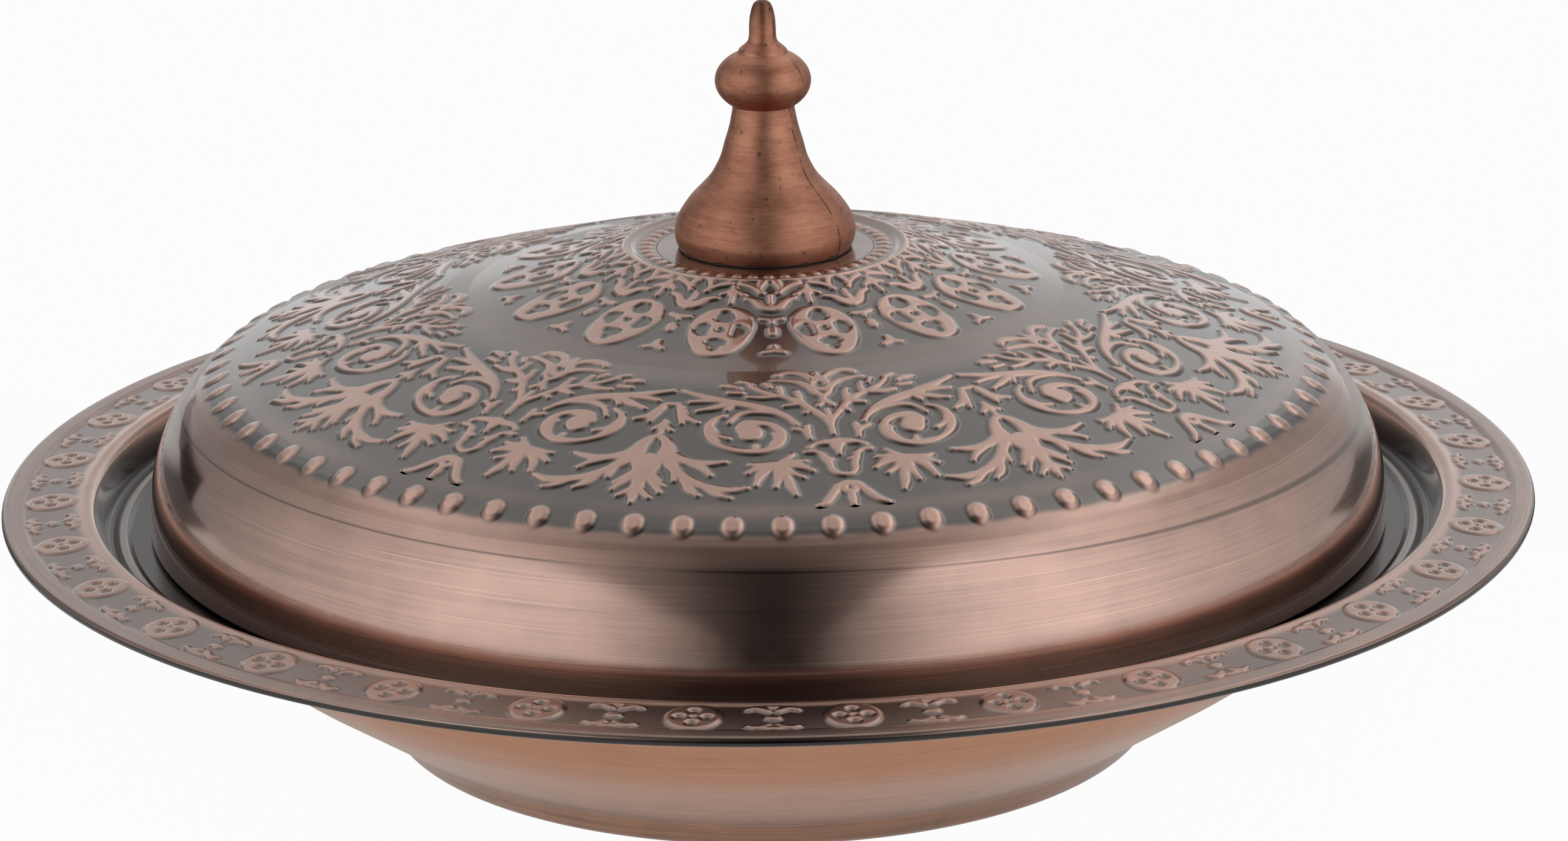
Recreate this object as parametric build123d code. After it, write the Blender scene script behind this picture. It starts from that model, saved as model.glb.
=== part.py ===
from build123d import *
import math
import os

os.makedirs("parts", exist_ok=True)

# Lidded metal dish for sweets: a spun dish with a flat ornamental rim, a domed
# lid that sits in the rim's seat, and a cast finial screwed to the lid.
# Millimetres. +Z is up, the origin is the centre of the foot's underside.

# ---- sheet metal -----------------------------------------------------------
SHEET = 0.8                 # wall of the dish and of the lid
HEM_GAP = 0.4               # air between the two layers of a folded edge
TIGHTEST_BEND = 0.05        # inside radius that is left in the sharpest bend

# ---- lid, from its lower edge up and in ------------------------------------
LID_R = 117.4               # outside of the lid at its lower edge
LID_HEM_RETURN = 2.6        # how far the lid's folded edge goes back up
LID_WALL_H = 13.5           # height where the wall starts to curve in
LID_WALL_LEAN = 0.4         # how far it has come in by then
LID_WALL_ROUND = 33.0
SHOULDER_DRAW_IN = 9.1      # corner between the wall and the dome
SHOULDER_RISE = 15.8
SHOULDER_ROUND = 23.5
DOME_RISE = 14.1            # from that corner up to the raised middle
FLAT_R = 24.4               # flat that carries the finial
BOSS_LIP_WIDTH = 1.2        # crisp edge that stands up round the flat
BOSS_LIP_HEIGHT = 0.8
BOSS_LIP_ROUND = 1.1
BOSS_NECK_WIDTH = 12.9      # steep part of the raised middle's flared side
BOSS_NECK_RISE = 5.2
BOSS_FLARE_ROUND = 30.0
BOSS_SKIRT_WIDTH = 17.7     # shallow part, out to the crease at its foot
BOSS_SKIRT_RISE = 3.1
CREASE_ROUND = 1.0

# ---- raised ornament of the lid --------------------------------------------
RELIEF_HEIGHT = 0.45
PALMETTES = 8               # as many trees stand between them
PALMETTE_TURN = -14.25      # degrees from the front to the first one
DRAWING_WIDTH = 43.4        # the drawings reach this far out from the crease
DRAWING_MARGIN = 4.2        # from there to the middle of the bead row
BEADS = 76                  # row of round beads on the shoulder
BEAD_TURN = -3.72
BEAD_R = 2.1                # at the bead's foot
BEAD_ROW_PLACE = 0.3        # share of the shoulder's bend, from its inner end
MEDALLIONS = 14             # eggs on the flared side of the raised middle
MEDALLION_TURN = 14.1
MEDALLION_R = 5.6
MEDALLION_TIP_R = 2.3
MEDALLION_LENGTH = 9.0      # between the centres of the egg's two ends
MEDALLION_FROM_LIP = 14.8   # from the lip to the centre of the egg's broad end

# ---- dish, from its foot up and out ----------------------------------------
FOOT_R = 72.2               # corner of the foot before rounding
FOOT_ROUND = 4.0
FOOT_FLARE = 4.1            # how far the foot leans out
FOOT_H = 5.7                # height where it turns into the bowl
FOOT_TOP_ROUND = 3.0
BOWL_CORNER_H = 27.9        # corner between the sloping and the steep wall
BOWL_CORNER_DRAW_IN = 4.7
BOWL_ROUND = 40.0
LEDGE_H = 41.7              # top face of the ledge that the lid stands on
LEDGE_ROUND = 1.6
SEAT_OVERLAP = 3.3          # ledge inside the lid's lower edge
SEAT_GAP = 0.2              # air under the lid's lower edge
RIDGE_CLEARANCE = 3.6       # play between the lid and the locating ridge
RIDGE_HALF_WIDTH = 1.6
RIDGE_HEIGHT = 1.0
RIDGE_ROUND = 1.0
GUTTER = 1.8                # flat between the ridge and the rim's inner wall
RIM_WALL_LEAN = 2.8         # outward lean of the rim's inner wall
RIM_WALL_RISE = 9.0         # from the ledge to the rounded inner border
RIM_WALL_ROUND = 1.6
RIM_CREST_ROUND = 1.5
INNER_BORDER = 2.2          # width of the rounded border's outer slope
INNER_BORDER_DROP = 2.2
BAND_WIDTH = 9.5            # ornament band
BAND_FALL = 0.7             # it falls a little towards the outside
BORDER_STEP_WIDTH = 0.8     # step up from the band to the plain outer border
BORDER_STEP_RISE = 0.45
OUTER_BORDER = 3.7          # plain border at the rim's edge
OUTER_BORDER_FALL = 0.15
BEND_ROUND = 1.2            # bends in the rim's steps and round the flat
RIM_HEM_RETURN = 2.2        # how far the rim's folded edge goes back in

# ---- finial ----------------------------------------------------------------
GASKET_THICK = 0.35
GASKET_INSET = 0.15         # the gasket's edge stands back from the finial's
BASE_R = 16.3
BELL_R = 16.9               # widest place of the bell
BELL_H = 4.0
BELL_SHOULDER_R = 14.9
BELL_SHOULDER_H = 9.25
BELL_FLANK_R = 10.6
BELL_FLANK_H = 14.05
BELL_WAIST_R = 7.5
BELL_WAIST_H = 19.5
NECK_R = 5.85
NECK_H = 26.2
BALL_R = 9.0                # the ball is a little flat
BALL_HALF_H = 6.6
BALL_CENTRE_H = 31.75
BALL_TOP_R = 5.1            # where the ball runs into the spike's fillet
SPIKE_R = 2.45
SPIKE_COLLAR_H = 40.0       # where the spike leaves its hollow fillet
SPIKE_TIP_R = 1.9
SPIKE_TIP_H = 45.0
FINIAL_H = 46.95

# ---- fixing ----------------------------------------------------------------
SCREW_R = 2.5
SCREW_CLEARANCE = 0.25      # hole in the lid, the gasket and the washer
THREAD_CLEARANCE = 0.05     # between the plain thread cylinder and its hole
SCREW_DEPTH = 14.0          # thread inside the finial
THREAD_HOLE_SPARE = 2.0
SCREW_HEAD_R = 4.6
SCREW_HEAD_H = 3.0
SCREW_HEAD_ROUND = 1.2
DRIVER_SLOT_LENGTH = 5.0
DRIVER_SLOT_WIDTH = 1.2
DRIVER_SLOT_DEPTH = 1.4
WASHER_R = 7.5
WASHER_THICK = 1.0

# ---- places that follow from the sizes above -------------------------------
HEM_WIDTH = 2 * SHEET + HEM_GAP
SHOULDER_H = LID_WALL_H + SHOULDER_RISE
BOSS_FOOT_H = SHOULDER_H + DOME_RISE
BOSS_FLARE_H = BOSS_FOOT_H + BOSS_SKIRT_RISE
BOSS_LIP_H = BOSS_FLARE_H + BOSS_NECK_RISE
FLAT_H = BOSS_LIP_H - BOSS_LIP_HEIGHT
LIP_R = FLAT_R + BOSS_LIP_WIDTH
FLARE_R = LIP_R + BOSS_NECK_WIDTH
CREASE_R = FLARE_R + BOSS_SKIRT_WIDTH
LID_WALL_R = LID_R - LID_WALL_LEAN
SHOULDER_R = LID_WALL_R - SHOULDER_DRAW_IN
LID_BASE_Z = LEDGE_H + SEAT_GAP
LID_TOP_Z = LID_BASE_Z + FLAT_H
FINIAL_Z = LID_TOP_Z + GASKET_THICK
BEAD_ROOT = SHEET / 2       # how far a bead is let into the sheet
WASHER_Z = LID_TOP_Z - SHEET - WASHER_THICK
HOLE_R = SCREW_R + SCREW_CLEARANCE


def corner_turn(before, corner, after):
    """Signed angle, in radians, by which the path turns at a corner."""
    angle_in = math.atan2(corner[1] - before[1], corner[0] - before[0])
    angle_out = math.atan2(after[1] - corner[1], after[0] - corner[0])
    turn = angle_out - angle_in
    return math.atan2(math.sin(turn), math.cos(turn))


def fitted_radii(corners, radii):
    """Rounding radii, cut back where two of them would share too short a run."""
    turns = [corner_turn(*corners[i:i + 3]) for i in range(len(radii))]
    reach = [r * math.tan(abs(a) / 2) for r, a in zip(radii, turns)]
    reach = [0] + reach + [0]
    scale = [1.0] * len(reach)
    for i in range(len(corners) - 1):
        run = math.dist(corners[i], corners[i + 1])
        need = reach[i] + reach[i + 1]
        if need > 0.98 * run:
            scale[i] = min(scale[i], 0.98 * run / need)
            scale[i + 1] = min(scale[i + 1], 0.98 * run / need)
    return [r * s for r, s in zip(radii, scale[1:-1])]


def moved_line(start, end, distance):
    """A line through two points, moved to its left by a distance."""
    length = math.dist(start, end)
    dx = (end[0] - start[0]) / length
    dy = (end[1] - start[1]) / length
    shift = (-dy * distance, dx * distance)
    return (start[0] + shift[0], start[1] + shift[1]), (dx, dy)


def other_side(corners, distance):
    """Corners of the sheet's other face: every run moved left by a distance."""
    runs = [moved_line(a, b, distance) for a, b in zip(corners, corners[1:])]
    points = [runs[0][0]]
    for (p, d), (q, e) in zip(runs, runs[1:]):
        cross = d[0] * e[1] - d[1] * e[0]
        along = ((q[0] - p[0]) * e[1] - (q[1] - p[1]) * e[0]) / cross
        points.append((p[0] + d[0] * along, p[1] + d[1] * along))
    p, d = runs[-1]
    run = math.dist(corners[-2], corners[-1])
    points.append((p[0] + d[0] * run, p[1] + d[1] * run))
    return points


def sheet_face(path, offset):
    """One face of a bent sheet.

    The path is a list of corners with their rounding, from the axis outwards.
    The face lies to its left by the offset, or to its right where the offset
    is negative, and its bends are tighter or wider by as much.
    """
    corners = [corner for corner, _ in path]
    radii = fitted_radii(corners, [radius for _, radius in path[1:-1]])
    if offset:
        turns = [corner_turn(*corners[i:i + 3]) for i in range(len(radii))]
        radii = [r - math.copysign(offset, turn * offset)
                 for r, turn in zip(radii, turns)]
        radii = [max(r, TIGHTEST_BEND) for r in radii]
        corners = other_side(corners, offset)
    return FilletPolyline(*corners, radius=radii)


def turned(edges):
    """Solid of revolution about Z of an outline drawn as (radius, height)."""
    return revolve(Plane.XZ * make_face(edges), Axis.Z)


def bent_sheet(path, low, high):
    """Solid of revolution between two faces beside a path."""
    first = sheet_face(path, low)
    second = sheet_face(path, high)
    ends = [Line(first @ 0, second @ 0), Line(first @ 1, second @ 1)]
    return turned([*first.edges(), *second.edges(), *ends])


def flat_ring(outer_r, inner_r, z, height):
    """Flat ring whose underside is at z."""
    blank = Cylinder(outer_r, height) - Cylinder(inner_r, height)
    return Pos(0, 0, z + height / 2) * blank


def make_dish():
    """Foot, bowl, ledge with its locating ridge, rim and folded edge."""
    under_ledge = LEDGE_H - SHEET
    well_r = LID_R - SEAT_OVERLAP
    bowl_corner_r = well_r - BOWL_CORNER_DRAW_IN
    ridge_r = LID_R + RIDGE_CLEARANCE + RIDGE_HALF_WIDTH
    wall_foot_r = ridge_r + RIDGE_HALF_WIDTH + GUTTER
    crest_r = wall_foot_r + RIM_WALL_LEAN
    crest_h = under_ledge + RIM_WALL_RISE
    band_r = crest_r + INNER_BORDER
    band_h = crest_h - INNER_BORDER_DROP
    step_r = band_r + BAND_WIDTH
    step_h = band_h - BAND_FALL
    border_r = step_r + BORDER_STEP_WIDTH
    border_h = step_h + BORDER_STEP_RISE
    edge_r = border_r + OUTER_BORDER - SHEET
    edge_h = border_h - OUTER_BORDER_FALL
    hem_round = 0.49 * HEM_GAP
    return bent_sheet([
        ((0, 0), None),
        ((FOOT_R, 0), FOOT_ROUND),
        ((FOOT_R + FOOT_FLARE, FOOT_H), FOOT_TOP_ROUND),
        ((bowl_corner_r, BOWL_CORNER_H), BOWL_ROUND),
        ((well_r, under_ledge), LEDGE_ROUND),
        ((ridge_r - RIDGE_HALF_WIDTH, under_ledge), RIDGE_ROUND),
        ((ridge_r, under_ledge + RIDGE_HEIGHT), RIDGE_ROUND),
        ((ridge_r + RIDGE_HALF_WIDTH, under_ledge), RIDGE_ROUND),
        ((wall_foot_r, under_ledge), RIM_WALL_ROUND),
        ((crest_r, crest_h), RIM_CREST_ROUND),
        ((band_r, band_h), BEND_ROUND),
        ((step_r, step_h), BEND_ROUND),
        ((border_r, border_h), BEND_ROUND),
        ((edge_r, edge_h), hem_round),
        ((edge_r, edge_h - HEM_GAP), hem_round),
        ((edge_r - RIM_HEM_RETURN, edge_h - HEM_GAP), None),
    ], 0, SHEET)


def lid_path():
    """Outer face of the lid: flat, lip, flared boss, dome, wall and fold."""
    hem_inner_r = LID_R - HEM_WIDTH
    hem_round = 0.49 * HEM_WIDTH
    return [
        ((HOLE_R, FLAT_H), None),
        ((FLAT_R, FLAT_H), BEND_ROUND),
        ((LIP_R, BOSS_LIP_H), BOSS_LIP_ROUND),
        ((FLARE_R, BOSS_FLARE_H), BOSS_FLARE_ROUND),
        ((CREASE_R, BOSS_FOOT_H), CREASE_ROUND),
        ((SHOULDER_R, SHOULDER_H), SHOULDER_ROUND),
        ((LID_WALL_R, LID_WALL_H), LID_WALL_ROUND),
        ((LID_R, 0), hem_round),
        ((hem_inner_r, 0), hem_round),
        ((hem_inner_r, LID_HEM_RETURN), None),
    ]


def leaf(start, end, left, right):
    """Leaf between two places, drawn with two arcs.

    Each arc bulges to its own side of the line from start to end. Where one
    bulge is negative, both arcs go the same way and the leaf is a crescent.
    """
    return make_face([SagittaArc(start, end, left), SagittaArc(end, start, right)])


def bud(radius, y, tip_radius, tip_y):
    """Round bud that narrows to a round tip."""
    ends = Pos(0, y) * Circle(radius) + Pos(0, tip_y) * Circle(tip_radius)
    return make_hull(ends.edges())


def both_sides(middle, right_half):
    """Drawing of the motifs on its axis and of one half, mirrored."""
    left_half = [mirror(shape, Plane.YZ) for shape in right_half]
    return Sketch() + [*middle, *right_half, *left_half]


def palmette_drawing():
    """Hanging palmette, with a scroll and a long stem on either side.

    Drawn like the tree with x across and y outwards from the lid's crease.
    """
    petals = [
        leaf((2.6, 28.0), (13.5, 28.6), 2.4, -0.6),
        leaf((3.2, 29.6), (19.1, 35.4), 4.3, -2.4),
    ]
    scroll = [
        Pos(15.7, 19.4) * Circle(2.1),
        leaf((14.3, 16.8), (18.0, 24.9), -4.2, 6.0),
        leaf((18.4, 24.6), (9.6, 15.0), -4.0, 5.6),
    ]
    stem = leaf((0.9, 8.5), (22.9, 14.8), -0.2, 2.0)
    return both_sides([bud(2.7, 30.8, 0.9, 40.3)], [*petals, *scroll, stem])


def tree_drawing():
    """Little tree with its crown of buds, and a palm leaf on either side."""
    branch = leaf((0.2, 18.0), (13.5, 3.2), 0.1, 1.5)
    crown = leaf((5.7, 26.7), (0.3, 34.2), 1.5, -0.3)
    tips = [(16.3, 28.8), (16.2, 34.0), (11.4, 37.6), (6.6, 34.2), (5.8, 29.2)]
    palm = [leaf((10.8, 30.0), tip, 0.85, 0.85) for tip in tips]
    middle = [bud(1.6, 6.2, 0.7, 2.6), bud(1.5, 38.4, 0.4, 42.3)]
    return both_sides(middle, [branch, crown, *palm])


def round_the_axis(shape, count, turn):
    """Copies of a shape drawn along +Y, the first turned from the front."""
    first = Rot(0, 0, 180 + turn)
    return [place * first * shape for place in PolarLocations(0, count)]


def lid_bead():
    """One bead of the shoulder's row, a cap of a ball, and the row's radius."""
    face = sheet_face(lid_path(), 0)
    bends = face.edges().filter_by(GeomType.CIRCLE)
    bend = bends.sort_by_distance((SHOULDER_R, SHOULDER_H))[0]
    middle = bend @ BEAD_ROW_PLACE
    along = bend % BEAD_ROW_PLACE
    ball_r = (BEAD_R ** 2 + RELIEF_HEIGHT ** 2) / (2 * RELIEF_HEIGHT)
    cap_h = RELIEF_HEIGHT + BEAD_ROOT
    ball = Pos(0, 0, cap_h - ball_r) * Sphere(ball_r)
    cap = split(ball, Plane.XY, keep=Keep.TOP)
    slope = math.degrees(math.atan2(-along.Y, along.X))
    seat = Pos(0, middle.X, middle.Y) * Rot(-slope, 0, 0) * Pos(0, 0, -BEAD_ROOT)
    return seat * cap, middle.X


def make_lid():
    """Bent sheet with a centre hole, and its raised ornament."""
    wall_end = 8
    skin = bent_sheet(lid_path()[:wall_end], -SHEET / 2, RELIEF_HEIGHT)
    bead, bead_row_r = lid_bead()
    drawing_scale = (bead_row_r - DRAWING_MARGIN - CREASE_R) / DRAWING_WIDTH
    egg = bud(MEDALLION_R, LIP_R + MEDALLION_FROM_LIP,
              MEDALLION_TIP_R, LIP_R + MEDALLION_FROM_LIP + MEDALLION_LENGTH)
    ornament = []
    for drawing, turn in ((palmette_drawing(), 0), (tree_drawing(), 180 / PALMETTES)):
        flat = Pos(0, CREASE_R) * scale(drawing, by=drawing_scale)
        raised = extrude(flat, amount=BOSS_LIP_H) & skin
        ornament += round_the_axis(raised, PALMETTES, PALMETTE_TURN + turn)
    raised_egg = extrude(egg, amount=BOSS_LIP_H + RELIEF_HEIGHT) & skin
    ornament += round_the_axis(raised_egg, MEDALLIONS, MEDALLION_TURN)
    ornament += round_the_axis(bead, BEADS, BEAD_TURN)
    lid = bent_sheet(lid_path(), -SHEET, 0) + ornament
    return Pos(0, 0, LID_BASE_Z) * lid


def make_finial():
    """Cast bell, neck, flattened ball and spike, drilled for the screw."""
    bell = Spline(
        (BASE_R, 0),
        (BELL_R, BELL_H),
        (BELL_SHOULDER_R, BELL_SHOULDER_H),
        (BELL_FLANK_R, BELL_FLANK_H),
        (BELL_WAIST_R, BELL_WAIST_H),
        (NECK_R, NECK_H),
    )
    below = math.degrees(math.acos(NECK_R / BALL_R))
    above = math.degrees(math.acos(BALL_TOP_R / BALL_R))
    ball = EllipticalCenterArc(
        (0, BALL_CENTRE_H),
        BALL_R,
        BALL_HALF_H,
        start_angle=-below,
        arc_size=below + above,
    )
    collar = Spline(
        ball @ 1,
        (SPIKE_R, SPIKE_COLLAR_H),
        tangents=[ball % 1, (0, 1)],
    )
    spike = Line(collar @ 1, (SPIKE_TIP_R, SPIKE_TIP_H))
    tip = Spline(spike @ 1, (0, FINIAL_H), tangents=[spike % 1, (-1, 0)])
    casting = turned([
        bell,
        Line(bell @ 1, ball @ 0),
        ball,
        collar,
        spike,
        tip,
        Line((0, FINIAL_H), (0, 0)),
        Line((0, 0), (BASE_R, 0)),
    ])
    depth = SCREW_DEPTH + THREAD_HOLE_SPARE
    hole = Pos(0, 0, depth / 2) * Cylinder(SCREW_R + THREAD_CLEARANCE, depth)
    return Pos(0, 0, FINIAL_Z) * (casting - hole)


def make_gasket():
    """Thin seal between the finial's foot and the lid's flat."""
    return flat_ring(BASE_R - GASKET_INSET, HOLE_R, LID_TOP_Z, GASKET_THICK)


def make_washer():
    """Washer under the screw's head, against the inside of the lid."""
    return flat_ring(WASHER_R, HOLE_R, WASHER_Z, WASHER_THICK)


def make_screw():
    """Pan-head screw, head down, with a plain cylinder for its thread."""
    head_z = WASHER_Z - SCREW_HEAD_H
    head = Pos(0, 0, SCREW_HEAD_H / 2) * Cylinder(SCREW_HEAD_R, SCREW_HEAD_H)
    lower_edge = head.edges().sort_by(Axis.Z)[0]
    head = fillet(lower_edge, SCREW_HEAD_ROUND)
    slot = Box(DRIVER_SLOT_LENGTH, DRIVER_SLOT_WIDTH, 2 * DRIVER_SLOT_DEPTH)
    head = head - slot - Rot(0, 0, 90) * slot
    length = FINIAL_Z + SCREW_DEPTH - WASHER_Z
    shank = Pos(0, 0, SCREW_HEAD_H + length / 2) * Cylinder(SCREW_R, length)
    return Pos(0, 0, head_z) * (head + shank)


NODES = {
    "dish": make_dish,
    "lid": make_lid,
    "finial": make_finial,
    "finial_gasket": make_gasket,
    "screw_washer": make_washer,
    "finial_screw": make_screw,
}

for name, make in NODES.items():
    export_step(make(), f"parts/{name}.step")
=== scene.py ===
# %% [markdown]
# # A lidded copper dish for sweets
# A round dish carries a domed lid with a cast knob. Both are sheets that are
# pressed with ornament, plated with copper, darkened in a bath, rubbed so that
# the high places shine again, and lacquered.
#
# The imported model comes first. It is the fixed frame: every piece that is made
# below rides on one of its bodies, so the lid can be lifted off the dish later.

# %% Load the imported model
import math
import bmesh
import bpy
import numpy as np
from mathutils import Matrix, Vector


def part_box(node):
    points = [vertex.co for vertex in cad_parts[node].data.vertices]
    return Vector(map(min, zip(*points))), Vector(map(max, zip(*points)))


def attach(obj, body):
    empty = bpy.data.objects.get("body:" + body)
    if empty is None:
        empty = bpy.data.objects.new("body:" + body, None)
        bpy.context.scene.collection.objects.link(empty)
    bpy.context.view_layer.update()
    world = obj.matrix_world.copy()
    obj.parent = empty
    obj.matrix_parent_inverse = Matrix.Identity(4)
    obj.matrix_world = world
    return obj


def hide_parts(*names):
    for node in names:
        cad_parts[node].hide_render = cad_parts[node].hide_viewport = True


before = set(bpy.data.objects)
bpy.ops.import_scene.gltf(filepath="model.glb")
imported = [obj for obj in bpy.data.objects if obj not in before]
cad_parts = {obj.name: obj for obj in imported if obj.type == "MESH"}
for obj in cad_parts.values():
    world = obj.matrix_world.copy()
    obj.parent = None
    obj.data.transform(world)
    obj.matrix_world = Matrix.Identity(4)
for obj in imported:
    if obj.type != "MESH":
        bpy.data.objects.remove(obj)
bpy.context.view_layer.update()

# %% [markdown]
# Everything is drawn in millimetres and is made metres at the very end of each
# piece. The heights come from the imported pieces, so nothing is placed by eye.

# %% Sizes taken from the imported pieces
MM = 0.001
SHEET = 0.8                 # thickness of both sheets
LID_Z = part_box("lid")[0].z / MM
GASKET_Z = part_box("finial_gasket")[0].z / MM
FINIAL_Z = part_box("finial")[0].z / MM
print("lid stands at", round(LID_Z, 2), "finial at", round(FINIAL_Z, 2))

# %% [markdown]
# The dish and the lid are each drawn from one flat disc of sheet, in a press or
# on a spinning lathe, so they are round and equally thick all over. That makes
# a line with rounded bends enough to describe them. A path is a list of
# corners, each with the radius of its bend. Walking along the path and stepping
# sideways by the sheet's thickness gives the other face, so both faces always
# stay parallel. Two separate curves would not promise that.


# %% A bent path and its two faces
def bent(path, degrees=5.0, run=3.0):
    """Points and left-hand normals along (radius, height, bend) corners."""
    corners = [Vector(corner[:2]) for corner in path]
    found = []
    for i, here in enumerate(corners):
        before = (here - corners[i - 1]).normalized() if i else None
        after = (corners[i + 1] - here).normalized() if i + 1 < len(corners) else None
        if before is None or after is None:
            way = after or before
            found.append((here, Vector((-way.y, way.x))))
            continue
        turn = math.atan2(before.x * after.y - before.y * after.x, before.dot(after))
        bend = math.copysign(path[i][2], turn)
        start = here - before * abs(bend * math.tan(turn / 2))
        centre = start + Vector((-before.y, before.x)) * bend
        steps = max(2, math.ceil(abs(math.degrees(turn)) / degrees))
        for k in range(steps + 1):
            angle = turn * k / steps
            way = Matrix.Rotation(angle, 2) @ before
            side = Vector((-way.y, way.x))
            found.append((centre - side * bend, side))
    points = [found[0]]
    for (p, n), (q, m) in zip(found, found[1:]):
        parts = max(1, math.ceil((q - p).length / run))
        points += [(p.lerp(q, k / parts), n.lerp(m, k / parts).normalized())
                   for k in range(1, parts + 1)]
    return points


def face(points, offset):
    """The face that lies a distance to the left of the path."""
    return [p + n * offset for p, n in points]


print("a quarter turn gives", len(bent([(0, 0, 0), (10, 0, 4), (10, 10, 0)])), "points")

# %% [markdown]
# An outline becomes a solid sheet when it is spun about the axis. One more
# helper ends every piece: it makes the mesh metres, shades it smooth with its
# sharp folds kept sharp, gives it its material, and lets it ride on a body.


# %% Spin an outline
SAME_PLACE = 0.0005         # corners closer than this are joined


def turned(outline, steps):
    """A closed outline of (radius, height) spun once round the axis."""
    bm = bmesh.new()
    ring = [bm.verts.new((p[0], 0, p[1])) for p in outline]
    for a, b in zip(ring, ring[1:] + ring[:1]):
        if max(a.co.x, b.co.x) > 1e-6:      # a line on the axis spins into nothing
            bm.edges.new((a, b))
    bmesh.ops.spin(bm, geom=bm.verts[:] + bm.edges[:], cent=(0, 0, 0),
                   axis=(0, 0, 1), angle=math.tau, steps=steps, use_merge=True)
    bmesh.ops.remove_doubles(bm, verts=bm.verts, dist=SAME_PLACE)
    bmesh.ops.recalc_face_normals(bm, faces=bm.faces)
    return bm


# %% Finish a piece
SHARP = math.radians(50)    # folds sharper than this stay crisp


def finish_piece(bm, name, material, body, slot, replaced):
    """Turn a bmesh in millimetres into a named piece on a body."""
    bmesh.ops.remove_doubles(bm, verts=bm.verts, dist=SAME_PLACE)
    bmesh.ops.scale(bm, vec=(MM, MM, MM), verts=bm.verts)
    for polygon in bm.faces:
        polygon.smooth = True
    for edge in bm.edges:
        edge.smooth = edge.calc_face_angle(0) < SHARP
    mesh = bpy.data.meshes.new(name)
    bm.to_mesh(mesh)
    bm.free()
    piece = bpy.data.objects.new(name, mesh)
    bpy.context.scene.collection.objects.link(piece)
    mesh.materials.append(material)
    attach(piece, body)
    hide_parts(replaced)
    triangles = sum(len(p.vertices) - 2 for p in mesh.polygons)
    print(name, triangles, "triangles")


ON_DISH = ("dish_body", "dish_copper", "dish")      # body, slot, replaced piece
ON_LID = ("lid_body", "lid_copper", "lid")

# %% [markdown]
# ## Finishes
# Shader maths is easier to read as arithmetic. `Value` wraps one socket of a
# node, and adding or multiplying values adds the Math nodes.


# %% Arithmetic on sockets
class Value:
    """One output socket that can be used in sums."""

    def __init__(self, tree, socket):
        self.tree = tree
        self.socket = socket

    def node(self, kind, settings=None, inputs=None, output=0):
        """Add a node: its settings first, then its sockets' values or links."""
        made = self.tree.nodes.new(kind)
        for key, setting in (settings or {}).items():
            if key == "stops":
                ramp = made.color_ramp.elements
                while len(ramp) < len(setting):
                    ramp.new(1.0)
                for stop, (place, colour) in zip(ramp, setting):
                    stop.position = place
                    stop.color = colour
            else:
                setattr(made, key, setting)
        for key, value in (inputs or {}).items():
            if isinstance(value, Value):
                self.tree.links.new(value.socket, made.inputs[key])
            else:
                made.inputs[key].default_value = value
        return Value(self.tree, made.outputs[output]) if made.outputs else made

    def outputs(self, *names):
        """Several outputs of the node that this value came from."""
        return [Value(self.tree, self.socket.node.outputs[name]) for name in names]

    def xyz(self):
        """The three coordinates of a place or a direction."""
        return self.node("ShaderNodeSeparateXYZ", {}, {0: self}).outputs("X", "Y", "Z")

    def math(self, operation, *values):
        return self.node("ShaderNodeMath", {"operation": operation},
                         dict(enumerate(values)))

    def __add__(self, other):
        return self.math("ADD", self, other)

    __radd__ = __add__

    def __sub__(self, other):
        return self.math("SUBTRACT", self, other)

    def __rsub__(self, other):
        return self.math("SUBTRACT", other, self)

    def __mul__(self, other):
        return self.math("MULTIPLY", self, other)

    __rmul__ = __mul__

    def __truediv__(self, other):
        return self.math("DIVIDE", self, other)

    def root(self):
        return self.math("SQRT", self)

    def size(self):
        """The value without its sign."""
        return self.math("ABSOLUTE", self)

    def at_least(self, low):
        return self.math("MAXIMUM", self, low)

    def at_most(self, high):
        return self.math("MINIMUM", self, high)

    def between(self, low, high):
        """0 below low, 1 above high, and a smooth step in the middle."""
        return self.node("ShaderNodeMapRange", {"interpolation_type": "SMOOTHSTEP"},
                         {"Value": self, "From Min": low, "From Max": high})

    def mix(self, a, b):
        """Colour a where this mask is 0, colour b where it is 1."""
        return self.node("ShaderNodeMix", {"data_type": "RGBA"},
                         {0: self, 6: a, 7: b}, output=2)


# %% Begin and end a material
def new_material(name):
    """A material, and a value to start sums from: its object coordinates."""
    material = bpy.data.materials.new(name)
    material.use_nodes = True
    tree = material.node_tree
    tree.nodes.clear()
    return material, Value(tree, None).node("ShaderNodeTexCoord", output="Object")


def set_surface(value, **sockets):
    """End a material in one Principled shader."""
    names = {key.replace("_", " "): v for key, v in sockets.items()}
    shader = value.node("ShaderNodeBsdfPrincipled", {}, names)
    value.node("ShaderNodeOutputMaterial", {}, {"Surface": shader})


def bumpy(coords, strength, depth_mm, height):
    """A normal that is tilted by a height, for marks too fine to model."""
    return coords.node("ShaderNodeBump", {}, {"Strength": strength,
                                              "Distance": depth_mm * MM, "Height": height})


# %% [markdown]
# Two noises make every finish here. The sheets are polished while they turn on a
# lathe, which leaves fine rings: noise that is quick across the radius and slow
# along the circle. Stains and dull places are soft clouds. Both are worked out
# from the place on the piece, so they need no picture and have no seams.


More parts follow.
